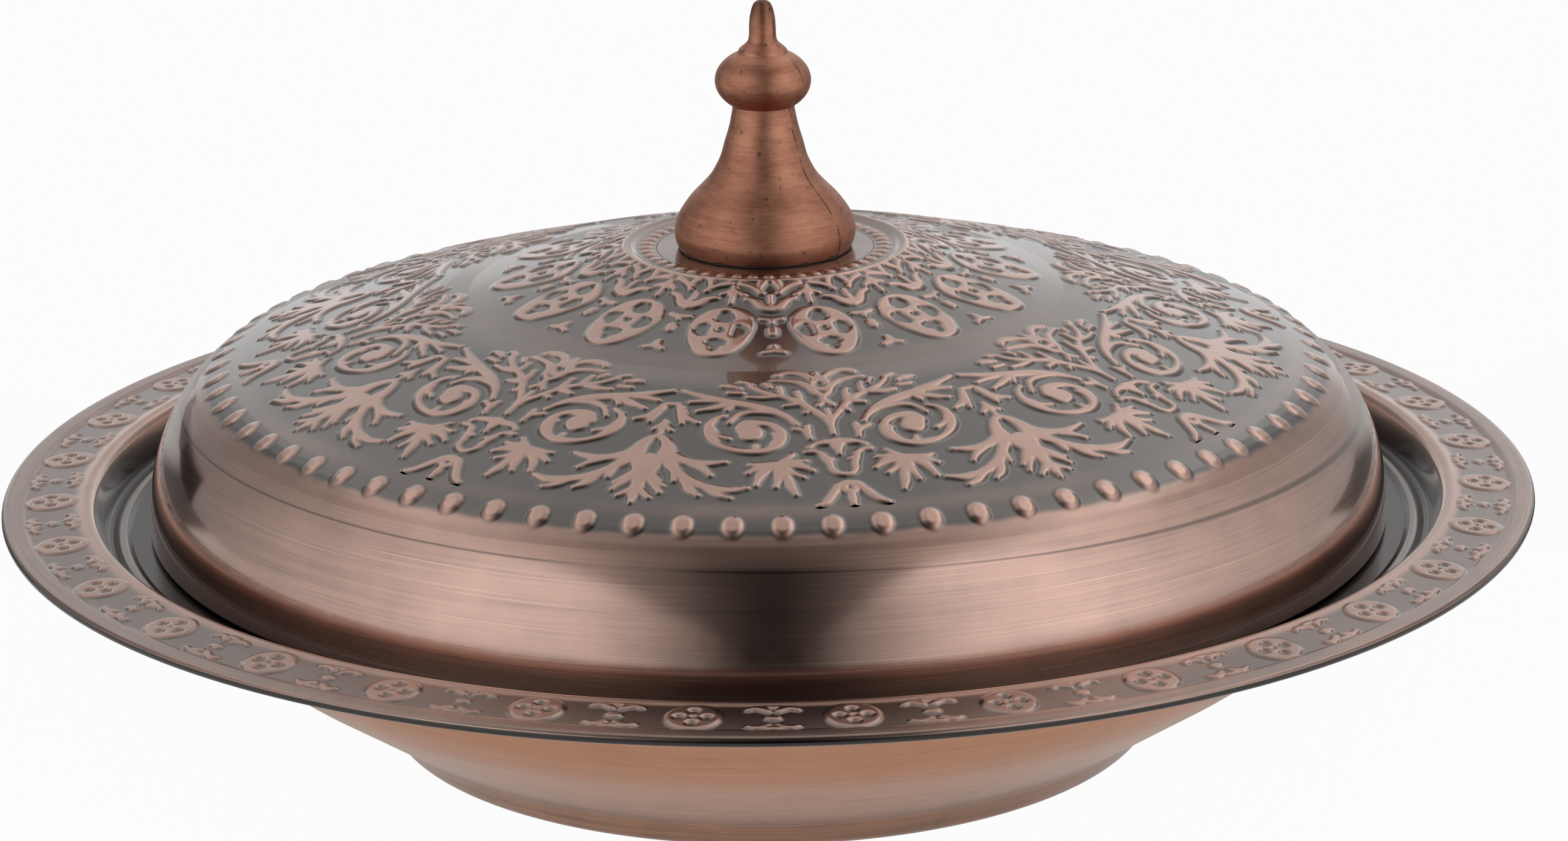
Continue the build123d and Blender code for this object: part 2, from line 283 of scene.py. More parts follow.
# %% Rings of brushing, and clouds
def lathe_marks(coords, fine, long, detail=3.0):
    """Noise drawn out into rings about the axis, from 0 to 1."""
    x, y, z = coords.xyz()
    radius = (x * x + y * y).root()
    angle = x.math("ARCTAN2", y, x).size()
    place = coords.node("ShaderNodeCombineXYZ", {},
                        {"X": radius * (fine / MM), "Y": z * (fine / MM), "Z": angle * long})
    return coords.node("ShaderNodeTexNoise", {},
                       {"Vector": place, "Scale": 1.0, "Detail": detail, "Roughness": 0.6})


def cloud(coords, size_mm, detail=3.0):
    """Soft noise with blobs of about the given size."""
    return coords.node("ShaderNodeTexNoise", {},
                       {"Vector": coords, "Scale": 1 / (size_mm * MM), "Detail": detail,
                        "Roughness": 0.55})


# %% [markdown]
# Antique copper is plated, blackened in a bath, then rubbed: the high places
# show copper again and the low ones keep the dark skin. `worn` says how far a
# place was rubbed, and each mesh carries it as an attribute, because it follows
# the relief's height. It also carries painted shade. Below zero it paints a
# place black, as painted shade and a painted reflection on the dish's ledge, the
# step up from it and the hem's edge. The lacquer is a clear coat. The foot's
# copper is more orange than the rest and was hardly lacquered; its deeper orange
# is also a painted reflection of the rim's copper underside.

# %% Colours of the copper
DARK = (0.102, 0.092, 0.086, 1)
# painted shade: the black that values of `worn` below zero paint
SHADE_BLACK = (0.016, 0.011, 0.009, 1)
COPPER = (0.64, 0.385, 0.30, 1)
BRIGHT = (0.86, 0.60, 0.44, 1)
# partly painted reflection: the foot's orange copper, deepened by the rim's copper underside
# mirrored in the bowl
FOOT_COPPER_AND_REFLECTION = (0.66, 0.34, 0.205, 1)
# painted reflection: the dark line of a screen's top edge mirrored in the lid's wall
SCREEN_EDGE_REFLECTION = (0.05, 0.026, 0.02, 1)


# %% The rubbed copper
def antique_copper(name, brushed, rough, coat_ior, coat, low_coat=None, low_copper_and_reflection=None,
                   reflected_edge_at=None, dull=0.0):
    """Darkened copper, rubbed bright where `worn` is high and painted black as shade below
    zero.

    `low_coat` and `low_copper_and_reflection` are the lacquer and the colour below the rim,
    where they differ; that colour is deepened as a painted reflection of the
    rim's copper underside. `reflected_edge_at` is the height of a thin dark line painted
    round the wall as the reflection of a screen's top edge, and its slope across
    and away; above it the brushing is a little rougher. `dull` is how much
    rougher the wall becomes towards its foot.
    """
    material, coords = new_material(name)
    worn = coords.node("ShaderNodeAttribute", {"attribute_name": "worn"}, output="Fac")
    x, y, z = coords.xyz()
    rings = lathe_marks(coords, 3.0, 4.0)
    streaks = lathe_marks(coords, 0.8, 1.3, 2.0)
    uneven = (cloud(coords, 9.0) - 0.5) * 0.7
    if brushed:
        uneven = (rings - 0.5) * 0.9 + (streaks - 0.5) * 0.7 + uneven
    rubbed = (worn + uneven * (worn * 0.6 + 0.1)).between(0.0, 1.0)
    # partly painted reflection: below the rim the copper is a deeper orange, the rim's
    # underside mirrored
    copper = z.between(0.030, 0.044).mix(low_copper_and_reflection, COPPER) if low_copper_and_reflection else COPPER
    tone = rubbed.mix(DARK, copper)
    if brushed:
        scratches = lathe_marks(coords, 5.5, 1.6, 1.0).between(0.66, 0.72)
        tone = (scratches * worn * 0.8).mix(tone, BRIGHT)
    # painted shade and painted reflection: below zero `worn` paints the copper black
    black = (0 - worn).between(0.0, 1.0)
    tone = black.mix(tone, SHADE_BLACK)
    roughness = (rings - 0.5) * 0.08 + rough
    if reflected_edge_at:
        # painted reflection: a thin dark line round the wall, where it mirrors a screen's top
        # edge
        height_off = z - x * reflected_edge_at[1] - y * reflected_edge_at[2] - reflected_edge_at[0]
        width = x.between(0.04, 0.11) * 0.0005 + 0.00026
        line = 1 - (height_off.size() / width).between(0.2, 1.0)
        line = line * cloud(coords, 60.0, 1.0).between(0.38, 0.52)
        tone = (line * 0.68).mix(tone, SCREEN_EDGE_REFLECTION)
        roughness = (roughness + (1 - z.between(0.0425, 0.0510)) * dull
                     + height_off.between(0.0, 0.0008) * 0.15)
    if low_coat is not None:
        coat = (z.between(0.030, 0.040) * (coat - low_coat) + low_coat) * (1 - black * 0.65)
    skin = bumpy(coords, 0.25 if brushed else 0.03, 0.03, rings * 0.6 + streaks * 0.3)
    set_surface(coords, Base_Color=tone, Metallic=1.0, Roughness=roughness,
                Anisotropic=0.85 if brushed else 0.0, Anisotropic_Rotation=0.25,
                Coat_Weight=coat, Coat_Roughness=0.03, Coat_IOR=coat_ior, Normal=skin)
    return material


# %% Its four kinds
dish_copper = antique_copper("brushed_copper_of_the_dish", True, 0.2, 1.6, 0.7,
                             low_coat=0.08, low_copper_and_reflection=FOOT_COPPER_AND_REFLECTION)
lid_copper = antique_copper("brushed_copper_of_the_lid", True, 0.145, 1.85, 1.0,
                            reflected_edge_at=(0.0641, -0.0105, -0.0105), dull=0.2)
pressed_copper = antique_copper("pressed_copper", False, 0.27, 1.6, 1.0)
rim_copper = antique_copper("pressed_copper_of_the_rim", False, 0.2, 1.5, 0.7)
for material in (dish_copper, lid_copper, pressed_copper, rim_copper):
    print(material.name, len(material.node_tree.nodes), "nodes")

# %% [markdown]
# ## The dish
# One sheet runs from the foot up the bowl, bends flat for the ledge that carries
# the lid, rises in a small locating ridge, climbs to the rounded inner border of
# the rim, and ends folded under itself, so that no cut edge meets the hand. Near
# the crest and the hem the wheel rubs hard. The ledge is painted nearly black as
# shade in the channel under the lid, the step up from it black as a painted
# reflection of the lid's dark wall, and the hem's outer edge black as painted
# shade; the bowl is painted darker towards its foot as shade. The ornament band
# is left out of this shell: there the sheet lies a little deeper, and the pressed
# band covers it. A fine mesh is then only needed where there is a drawing.

# %% The dish's path
DISH_PATH = [               # (radius, height, bend) of the underside
    (0, 0, 0), (72.2, 0, 4), (76.3, 5.7, 3), (109.4, 27.9, 40),
    (114.1, 40.9, 1.6), (121.0, 40.9, 1.0), (122.6, 41.9, 1.0),
    (124.2, 40.9, 1.0), (126.0, 40.9, 1.6), (128.5, 48.1, 1.4),
    (130.9, 47.7, 1.0), (140.5, 47.0, 1.2), (141.3, 47.45, 1.2),
    (144.2, 47.4, 0.15), (144.2, 47.15, 0.15), (142.0, 47.25, 0),
]
RIM_BAND = (130.5, 140.95)
RECESS = 0.25               # how far the sheet lies below a pressed band
DISH_STEPS = 232            # round the axis; more would pass 200,000 triangles


# %% Leave room for a band, and store the rubbing
def recessed(points, low, high, depth):
    """The same face, pushed back between two radii where a band will lie."""
    result = []
    for (p, n), (q, m) in zip(points, points[1:]):
        result.append(p - n * depth if low < p.x < high else p)
        for edge in (low, high):
            if p.x < edge <= q.x:
                part = (edge - p.x) / (q.x - p.x)
                place = p.lerp(q, part)
                pair = [place, place - n.lerp(m, part).normalized() * depth]
                result += pair if edge == low else pair[::-1]
    return result + [points[-1][0]]


def set_worn(bm, rule):
    """Store how far each place was rubbed, and its painted shade, from its radius and height.
    """
    layer = bm.verts.layers.float.new("worn")
    for v in bm.verts:
        v[layer] = rule(math.hypot(v.co.x, v.co.y), v.co.z)


def dish_wear_and_shade(r, z):
    """Bright borders, painted shade on the ledge, the hem's edge and the bowl's foot, and a
    painted reflection of the lid's dark wall on the step up.
    """
    # painted shade: the hem's outer edge is painted black below
    if z > 45 and r > 144.2:                        # the hem: bright above, black below
        return 0.45 if z > 47.6 else -0.6
    if z > 47 and r > 140.5:                        # the outer border
        return 0.46
    if z > 48.35 and 127 < r < 131.2:               # the inner border's crest
        return 0.7
    # painted reflection: the step up is painted black where it mirrors the lid's dark wall
    if r > 125.5 and z > 42.5:                      # the step up from the ledge
        return -0.8 + 1.4 * min(1, max(0, (z - 43.2) / 3.8))
    # painted shade: the ledge is painted nearly black in the channel under the lid
    if r > 114 and z > 40.2:                        # the ledge, with its ridge
        return 0.22 if z > 42.35 else -0.8
    # painted shade: the bowl is painted darker towards its foot
    return 0.5 + 0.42 * min(1, max(0, (z - 3) / 18))


# %% Spin the dish
dish_path = bent(DISH_PATH)
dish_top = [(p + n * SHEET, n) for p, n in dish_path]
rim_top = [(p, n) for p, n in dish_top if p.x < 142.5 and p.y > 47.6]
bm = turned(face(dish_path, 0) + recessed(dish_top, *RIM_BAND, RECESS)[::-1], DISH_STEPS)
set_worn(bm, dish_wear_and_shade)
finish_piece(bm, "dish_sheet", dish_copper, *ON_DISH)

# %% [markdown]
# ## The lid
# The lid is one more turned sheet: a flat top with the screw's hole, a flared
# rise, the dome, and a wall that ends folded inwards. Here the path is the outer
# face and the sheet lies inside it, because everything that is pressed into the
# lid is drawn flat, as seen from above, and then laid on that outer face.

# %% Spin the lid
LID_PATH = [                # (radius, height above the ledge, bend) of the outside
    (2.75, 50.9, 0), (24.4, 50.9, 1.2), (25.6, 51.6, 1.1), (38.3, 46.95, 6),
    (56.2, 42.75, 1.0), (63.0, 41.6, 30), (107.9, 28.6, 21), (117.0, 13.5, 32.7),
    (117.4, 0, 0.98), (115.4, 0, 0.98), (115.4, 2.6, 0),
]
LID_BANDS = (20.5, 108.6)
LID_STEPS = 288


def lid_worn(r, z):
    """The flat stays dull, the wall is brushed evenly, the lip is bright."""
    if r < 26.5:
        return 0.38
    if z < LID_Z + 1.5 and r > 116.3:
        return 0.6
    return 0.76 if r > 108 else 0.5


lid_path = [(p + Vector((0, LID_Z)), n) for p, n in bent(LID_PATH)]
bm = turned(recessed(lid_path, *LID_BANDS, RECESS)[::-1] + face(lid_path, -SHEET), LID_STEPS)
set_worn(bm, lid_worn)
finish_piece(bm, "lid_sheet", lid_copper, *ON_LID)

# %% [markdown]
# ## Drawing the pressed ornament
# The ornament is pressed between two dies, and dies are cut from a drawing, so
# it is drawn here too. A stroke is a smooth line through a few points, each with
# its own half width. All strokes together give every place its distance to the
# nearest edge, and an S-shaped step turns that distance into height, with the
# soft shoulders of pressed sheet. Cutting each leaf out as a solid would give
# hard edges and slow joins. The points are in millimetres, seen from above: x
# across, y away from the dish's axis.


# %% Strokes and their distance
def smooth_line(points, parts=6):
    """A smooth line through (x, y, half width) points."""
    p = np.array(points, float)
    if len(p) < 3:
        return p
    p = np.vstack([2 * p[0] - p[1], p, 2 * p[-1] - p[-2]])
    line = []
    for a, b, c, d in zip(p, p[1:], p[2:], p[3:]):
        for t in np.arange(parts) / parts:
            line.append(b + 0.5 * t * (c - a + t * (2 * a - 5 * b + 4 * c - d
                                                     + t * (3 * (b - c) + d - a))))
    return np.array(line + [p[-2]])


BLUNT = 0.42                # no stroke ends thinner than this half width


def edge_distance(x, y, strokes, melt=0.35):
    """Distance to the edge of a drawing, negative inside it."""
    field = np.full(x.shape, 9.0)
    for stroke in strokes:
        line = smooth_line(stroke)
        line[:, 2] = line[:, 2].clip(BLUNT)
        reach = 1.2 + line[:, 2].max()
        low, high = line[:, :2].min(0) - reach, line[:, :2].max(0) + reach
        near = np.flatnonzero((x > low[0]) & (x < high[0]) & (y > low[1]) & (y < high[1]))
        if not len(near):
            continue
        px, py = x[near], y[near]
        best = np.full(px.shape, 9.0)
        for (ax, ay, aw), (bx, by, bw) in zip(line, line[1:] if len(line) > 1 else line):
            dx, dy = bx - ax, by - ay
            t = ((px - ax) * dx + (py - ay) * dy) / max(dx * dx + dy * dy, 1e-9)
            t = t.clip(0, 1)
            far = np.hypot(px - ax - t * dx, py - ay - t * dy) - aw - t * (bw - aw)
            best = np.minimum(best, far)
        old = field[near]
        join = (melt - np.abs(old - best)).clip(0) / melt
        field[near] = np.minimum(old, best) - join * join * melt / 4
    return field


def smooth_step(value, low, high):
    t = ((value - low) / (high - low)).clip(0, 1)
    return t * t * (3 - 2 * t)


print("a dot of 1 mm:", edge_distance(np.array([0.0, 2.0]), np.zeros(2), [[(0, 0, 1)]]))

# %% [markdown]
# A pattern that repeats round the axis is folded: every place is brought into
# one half of one unit, so each motif is drawn once, as half a motif, and all
# repeats are sure to match. `axis` places are seen from the unit's own middle
# and `between` places from the line half way to the next unit.


# %% Fold a pattern round the axis
def folded(radius, angle, repeats, axis):
    """Flat places seen from the unit's axis and from the line between units."""
    half = math.pi / repeats
    turn = np.abs((angle - math.radians(axis) + half) % (2 * half) - half)
    rest = half - turn
    return ((radius * np.sin(turn), radius * np.cos(turn)),
            (radius * np.sin(rest), radius * np.cos(rest)))


print("8 units are", 360 / 8, "degrees wide, and half of one is drawn")

# %% [markdown]
# A band is a fine grid that is bent into a ring, laid on the sheet's face and
# raised where there is a drawing. A grid in rings and rays keeps its cells
# equally small and follows the sheet better than a square one. The rubbing goes
# with the height: the ground stays dark and the raised strokes turn to copper.
# A thin darker seam at their foot is painted shade.

# %% Press a drawing into a band of sheet
FULLER = 0.14               # the pressed lines are this much wider than the drawn ones
RUBBED = 0.82               # how far the raised strokes are rubbed


def relief_band(name, profile, radii, cell, span, drawing, ground, press, where,
                material=pressed_copper, top_worn=RUBBED):
    """A band of the sheet with a drawing pressed into it.

    `span` is where it starts and how far it goes round, in degrees. `press` is
    the relief's height, then how far its soft edge reaches outside and inside
    the drawn line.
    """
    path_r = np.array([p.x for p, n in profile])
    path_z = np.array([p.y for p, n in profile])
    side_r = np.array([n.x for p, n in profile])
    side_z = np.array([n.y for p, n in profile])
    start, sweep = (math.radians(a) for a in span)
    columns = round(sweep * (radii[0] + radii[1]) / 2 / cell)
    rows = round((radii[1] - radii[0]) / cell)
    bm = bmesh.new()
    bmesh.ops.create_grid(bm, x_segments=columns, y_segments=rows, size=1)
    flat = np.array([v.co for v in bm.verts])
    angle = start + (1 - flat[:, 0]) / 2 * sweep
    radius = radii[0] + (flat[:, 1] + 1) / 2 * (radii[1] - radii[0])
    distance = drawing(radius, angle) - FULLER
    depth, outside, inside = press
    rise = depth * smooth_step(-distance, -outside, inside)
    r = radius + np.interp(radius, path_r, side_r) * rise
    z = np.interp(radius, path_r, path_z) + np.interp(radius, path_r, side_z) * rise
    rubbed = smooth_step(-distance, -0.3, 0.42)
    # painted shade: a thin darker seam round the foot of each stroke
    seam = 0.05 * smooth_step(-distance, -0.7, -0.2) * (1 - rubbed)
    worn = ground(radius, angle) * (1 - rubbed) - seam + top_worn * rubbed
    layer = bm.verts.layers.float.new("worn")
    places = np.stack([r * np.sin(angle), -r * np.cos(angle), z], 1)
    for v, place, amount in zip(bm.verts, places, worn):
        v.co = place
        v[layer] = amount
    finish_piece(bm, name, material, *where)


# %% [markdown]
# ## The main band of the lid
# Eight hanging palmettes with a pair of scrolls beside each, and eight little
# trees between them. This is an old ornament of leaves, with no words in it.
# Only half a palmette and half a tree are drawn.

# %% Half a palmette, its scroll and its stem
PALMETTE = [
    [(0, 78.5, .45), (1.4, 79.9, .75), (2.4, 82, 1.1), (2.9, 84.6, 1.7)],
    [(0, 87, 2.7), (0, 89, 2.0), (0, 91.5, 1.4), (0, 94, 1.0), (0, 96.6, .85), (0, 98.6, .25)],
    [(2.8, 84.2, 1.4), (6, 85.6, .9), (9, 86.1, .75), (11.5, 85.6, .6), (13.5, 84.8, .25)],
    [(8, 86.3, .8), (10.2, 87.6, .6), (11.8, 89.1, .2)],
    [(3.6, 86.2, 1.2), (5.6, 88.6, .9), (8.3, 91.1, .95), (12, 92.7, .85),
     (15.8, 93, .8), (17.6, 92.4, .6), (19.1, 91.6, .25)],
    [(5.5, 88.5, .8), (5.9, 91.6, .2)],
    [(8, 91.3, .9), (9.3, 93.8, .75), (11.1, 95.2, .35)],
    [(12.5, 93, .8), (14.6, 94.6, .6), (16.7, 95.1, .35)],
    [(1.0, 89.8, 1.0), (2.8, 91.7, .65), (4.3, 93.3, .2)],
    [(1.6, 91.2, .8), (3.1, 93.6, .55), (4.2, 95.3, .2)],
    [(.6, 95, .7), (2.8, 97, .25)],
    [(0, 74.1, .3), (0, 75.6, .75), (0, 77.6, .4), (0, 79, .5)],
    [(0, 75.3, .6), (1.6, 76.7, .2)],
    [(0, 68.9, .4), (1.3, 69.0, .45), (1.9, 70.6, .75), (3.2, 72.7, .75), (5.7, 73.8, .2)],
    [(2.4, 72.2, .7), (2.9, 74.3, .25)],
]
SCROLL = [
    [(15.7, 75.6, 2.1)],
    [(14.2, 74.4, 1.5), (14.6, 73, 1.25), (16.5, 72.2, .85), (18.6, 72.3, .65),
     (20.3, 73.4, .7), (21.2, 75.3, .9), (21.0, 77.6, 1.0), (20, 79.5, .7),
     (18, 80.7, .75), (15, 81.1, .6), (12, 80.4, .5), (9.8, 78.8, .75),
     (8.5, 76.5, .95), (8, 74.3, .65), (8.6, 72.4, .5), (9.9, 71.2, .3)],
    [(20.9, 77, .6), (20.2, 75.4, .3), (19.8, 74.8, .12)],
    [(18, 80.3, .6), (17.3, 79.0, .12)],
    [(8.7, 75.9, .7), (10, 77.2, .5), (12.2, 77.8, .15)],
]
STEM = [
    [(.9, 64.7, .2), (3, 65.4, .45), (6, 66.2, .7), (10, 66.9, .9), (14, 67.3, .95),
     (17.5, 68, .85), (20.5, 69.2, .6), (22.9, 71, .2)],
    [(7.2, 67, .55), (4.9, 67.4, .4), (2.9, 67.8, .15)],
    [(9.6, 67.9, .6), (7.3, 69.2, .65), (4.8, 70.4, .2)],
    [(10.6, 67.8, .5), (9.9, 69.3, .12)],
    [(18.3, 68.7, .35), (14.6, 69.1, .5), (12.4, 70.4, .5), (11.2, 73, .15)],
]

# %% Half a tree, its cartouche, the small arch and the leaf
TREE = [
    [(0, 57.9, .3), (0, 59.3, .75), (0, 61.3, 1.8), (0, 62.6, 2.0)],
    [(0, 66.3, .45), (1.25, 65, .5), (1.9, 63.2, .6), (3.4, 61.4, .6), (5.6, 60.4, .5),
     (8.0, 59.9, .25)],
    [(.7, 60.4, .5), (2.2, 58.4, .6), (4.1, 57.3, .7), (5.8, 57.3, .7), (6.8, 57.9, .6)],
    [(0, 66.4, .3), (0, 67.8, .55)],
    [(0, 67.8, .5), (1.3, 69.1, .25)],
    [(0, 70.4, .25), (0, 72, .35), (0, 73.8, .8), (0, 76, .3), (0, 77.8, .1)],
    [(0, 74.2, .5), (1.3, 72.2, .55), (3, 69.8, .55), (4.6, 67.6, .7), (6.6, 66, .5),
     (8.8, 64.7, .5), (10.7, 63.1, .45), (11.9, 61.4, .4), (12.2, 60.3, .4), (13.5, 59.3, .3)],
    [(2.9, 70.3, .4), (3.9, 70.9, .2)],
    [(4.9, 68.1, .6), (7.1, 68.4, .2)],
    [(8.6, 65.3, .5), (11, 65.2, .5), (13.2, 64.6, .2)],
    [(4.4, 67.6, .7), (4.2, 66, .5), (4.35, 64.4, .2)],
    [(7.3, 65.3, .5), (7.2, 63.8, .45), (7.3, 62.3, .25)],
    [(8.8, 62.1, .2), (9.3, 60.8, .4)],
    [(14.2, 61.5, .25), (15.5, 60.6, .65), (16.9, 60.1, .35)],
    [(14, 63.2, .25), (15.2, 62.9, .35), (16.3, 62.6, .2)],
    [(4.2, 75.2, .3), (4.55, 76.7, .65), (4.3, 78.9, .12)],
    [(4.6, 76.8, .5), (6.6, 75.7, .18)],
]
CARTOUCHE = [
    [(0, 80.5, .9), (2.6, 80.5, .6), (4, 80.9, .45), (5, 81.7, .25)],
    [(0, 80.8, 1.3), (0, 82, .9), (0, 83.9, .15)],
    [(5.7, 82.9, .25), (4.2, 83.1, .4), (3.2, 83.9, .5), (2.7, 85.4, .6), (2.2, 87.2, .5),
     (2.05, 88.8, .45), (1.2, 90, .42), (0, 90.4, .4)],
    [(2.6, 85.3, .5), (1.6, 85.7, .15)],
    [(0, 92.6, .45), (1.4, 93.2, .6), (2.5, 94.9, .65), (3.6, 96.7, .65), (4.7, 98.1, .6),
     (6, 98.9, .35)],
    [(0, 93.2, .8), (0, 94.6, 1.5)],
    [(0, 95.6, .45), (0, 97.5, .65), (0, 99.1, .25)],
]
LEAF = [
    [(11.5, 86, .9), (14, 85.9, .8), (15.9, 85.2, .25)],
    [(12.5, 86.3, .9), (15, 86.8, .7), (16.7, 87.6, .25)],
    [(12.5, 86.5, .9), (14.6, 88.6, .8), (15.9, 91.4, .25)],
    [(11.3, 87, .9), (11.6, 89.8, .8), (12.6, 92.4, .25)],
    [(11, 87, .9), (10.2, 91, .75), (10, 93, .75), (9.5, 95.2, .3)],
    [(10.5, 87, .8), (9.3, 88.8, .6), (7.4, 90.3, .25)],
    [(10.3, 86.3, .9), (7.6, 87, .8), (5.5, 88.6, .3)],
    [(10.2, 85.8, .9), (8, 85.6, .6), (6.2, 85.6, .25)],
    [(10.3, 85.6, .8), (9.2, 84.5, .5), (8.2, 83.5, .2)],
]
EYELET = [[(0, 94.4, .5)], [(0, 62.5, 1.0)]]

# %% Press the main band, a quarter at a time
MAIN_REPEATS = 8
MAIN_AXIS = -14.25          # degrees from the front to the first palmette
MAIN_PRESS = (0.45, 0.65, 0.50)
MAIN_RADII = (55.4, 99.6)


def main_drawing(radius, angle):
    axis, between = folded(radius, angle, MAIN_REPEATS, MAIN_AXIS)
    distance = np.minimum(edge_distance(*axis, PALMETTE + SCROLL + STEM),
                          edge_distance(*between, TREE + CARTOUCHE + LEAF))
    return np.maximum(distance, -edge_distance(*between, EYELET))


def haze(radius, angle):
    """A faint, patchy ring of copper inside the row of beads."""
    patchy = 0.13 + 0.05 * np.sin(angle * 5 + 1) + 0.04 * np.sin(angle * 13 + 2)
    return patchy * smooth_step(-np.abs(radius - 100.2), -3.6, -0.3)


def main_ground(radius, angle):
    """Grey ground, a little copper towards the middle of the lid."""
    return 0.12 + 0.16 * smooth_step(-radius, -66, -58) + haze(radius, angle)


for quarter in range(4):
    relief_band(f"lid_ornament_{quarter + 1}", lid_path, MAIN_RADII, 0.27,
                (MAIN_AXIS + 90 * quarter, 90), main_drawing, main_ground,
                MAIN_PRESS, ON_LID)

# %% [markdown]
# ## Beads, medallions and the collar
# A row of beads runs round the shoulder, where the band ends and the brushed
# wall begins. The wheel slipped a little over that border, so the copper starts
# unevenly just outside the beads.

# %% The bead row
BEADS = 76
BEAD_AXIS = -3.72
BEAD = [[(0, 103.6, 1.75), (0, 104.2, 1.75)]]


def bead_drawing(radius, angle):
    axis, _ = folded(radius, angle, BEADS, BEAD_AXIS)
    return edge_distance(*axis, BEAD)


def bead_ground(radius, angle):
    """Grey ground that ends softly at the beads' outer ends."""
    wander = 0.12 * np.sin(angle * 31) + 0.08 * np.sin(angle * 113)
    return 0.12 + haze(radius, angle) + 0.56 * smooth_step(radius + wander, 105.2, 106.6)


relief_band("lid_bead_row", lid_path, (99.6, 108.7), 0.28, (0, 360), bead_drawing,
            bead_ground, (0.42, 0.6, 1.0), ON_LID)

# %% [markdown]
# Fourteen egg-shaped medallions stand on the flared rise. Their holes are drawn
# as strokes too and are taken out of the egg. Small sprigs fill the gaps, and
# some of them hang from the collar, so both are in one drawing.

# %% Medallions and the motifs between them
MEDALLION = [[(0, 40.7, 5.8), (0, 44.2, 5.5), (0, 46.9, 4.5)]]
MEDALLION_HOLES = [
    [(0, 37.3, 1.65), (.5, 37.9, 1.5)],
    [(3.1, 40.8, 1.15), (3.6, 42.0, 1.7), (3.1, 43.5, 1.15)],
    [(0, 42.1, 1.0)],
    [(0, 46.5, 1.5), (.8, 46.6, 1.35)],
    [(0, 48.4, 1.15), (0, 49.0, .9)],
]
COLLAR_ON_AXIS = [
    [(0, 28.6, .4), (0, 30.3, .9), (0, 31.5, .4), (0, 33.3, .12)],
    [(0, 29.6, .5), (2.1, 30.8, .12)],
    [(1.0, 27.6, .6), (3.1, 28.3, .5), (5.3, 29.8, .15)],
]
COLLAR_BETWEEN = [
    [(0, 41.6, .8), (0, 42.9, .8)],
    [(0, 47.4, .42), (0, 48.7, .75)],
    [(0, 49.2, .6), (1.8, 49.8, .42)],
    [(0, 38.3, .5), (1.9, 37.9, .15)],
    [(0, 38.4, .45), (0, 39.2, .12)],
    [(0, 35, .75), (1.5, 34.3, .85), (2.9, 32.5, .6), (4.4, 31.7, .35)],
    [(0, 31, .45), (0, 32.2, .3), (0, 34, .6)],
    [(1.2, 27, .7), (1.9, 28.6, .5), (1.8, 30.1, .15)],
]
MEDALLIONS = 14
MEDALLION_AXIS = 14.1
COLLAR_R = 26.9             # all inside this radius counts as raised


def boss_drawing(radius, angle):
    axis, between = folded(radius, angle, MEDALLIONS, MEDALLION_AXIS)
    egg = np.maximum(edge_distance(*axis, MEDALLION),
                     -edge_distance(*axis, MEDALLION_HOLES, 0.2))
    distance = np.minimum(egg, edge_distance(*axis, COLLAR_ON_AXIS))
    distance = np.minimum(distance, edge_distance(*between, COLLAR_BETWEEN))
    return np.minimum(distance, radius - COLLAR_R)


def boss_ground(radius, angle):
    return 0.16 + 0.12 * smooth_step(radius, 48.5, 53.5)


relief_band("lid_medallions", lid_path, (33.4, 55.4), 0.28, (0, 360), boss_drawing,
            boss_ground, MAIN_PRESS, ON_LID)

# %% [markdown]
# On the flat top, a narrow raised collar and a ring of fine beads surround the
# knob. They hide the edge of the seal and are pressed less sharply.

# %% The collar and the fine beads
FINE_BEADS = 48
FINE_BEAD_AXIS = 1.2
FINE_BEAD = [[(0, 22.1, .8), (0, 22.6, .8)]]
COLLAR_INNER_R = 26.2


def crown_drawing(radius, angle):
    axis, _ = folded(radius, angle, FINE_BEADS, FINE_BEAD_AXIS)
    collar = np.maximum(boss_drawing(np.maximum(radius, 25.0), angle), COLLAR_INNER_R - radius)
    return np.minimum(edge_distance(*axis, FINE_BEAD), collar)


def crown_ground(radius, angle):
    return 0.15 + 0.2 * smooth_step(-radius, -27.2, -26.2)


relief_band("lid_collar", lid_path, (20.4, 33.4), 0.24, (0, 360), crown_drawing,
            crown_ground, (0.42, 0.5, 0.45), ON_LID)

# %% [markdown]
# ## The rim's band
# Thirty-two small discs with four dimples, and a flower with two heads between
# each pair, are pressed into the sunken band of the rim. Sheet this close to a
# fold takes a shallower relief. A flower's two heads are one drawing, the second
# mirrored across the middle of the band.

# %% Discs and two-headed flowers
DISCS = 32
DISC_AXIS = -5.785
DISC_R = 135.7              # middle of the band
DISC = [[(0, DISC_R - .15, 4.5), (0, DISC_R + .15, 4.5)]]
DIMPLES = [
    [(0, DISC_R - 2.3, 1.05)], [(0, DISC_R + 2.3, 1.05)],
    [(2.35, DISC_R, 1.05)], [(0, DISC_R, .4)],
]
FLOWER = [
    [(4.1, -3.3, .42), (3.1, -3.8, .5), (2.0, -3.6, .65), (1.1, -3.0, .6), (.9, -2.6, .42)],
    [(0, -4.2, .5), (1.0, -4.15, .42)],
]
FLOWER = ([[(x, DISC_R + y, w) for x, y, w in stroke] for stroke in FLOWER]
          + [[(x, DISC_R - y, w) for x, y, w in stroke] for stroke in FLOWER]
          + [[(0, DISC_R, .85), (.5, DISC_R, .75)]])


def rim_drawing(radius, angle):
    axis, between = folded(radius, angle, DISCS, DISC_AXIS)
    disc = np.maximum(edge_distance(*axis, DISC), -edge_distance(*axis, DIMPLES))
    return np.minimum(disc, edge_distance(*between, FLOWER))


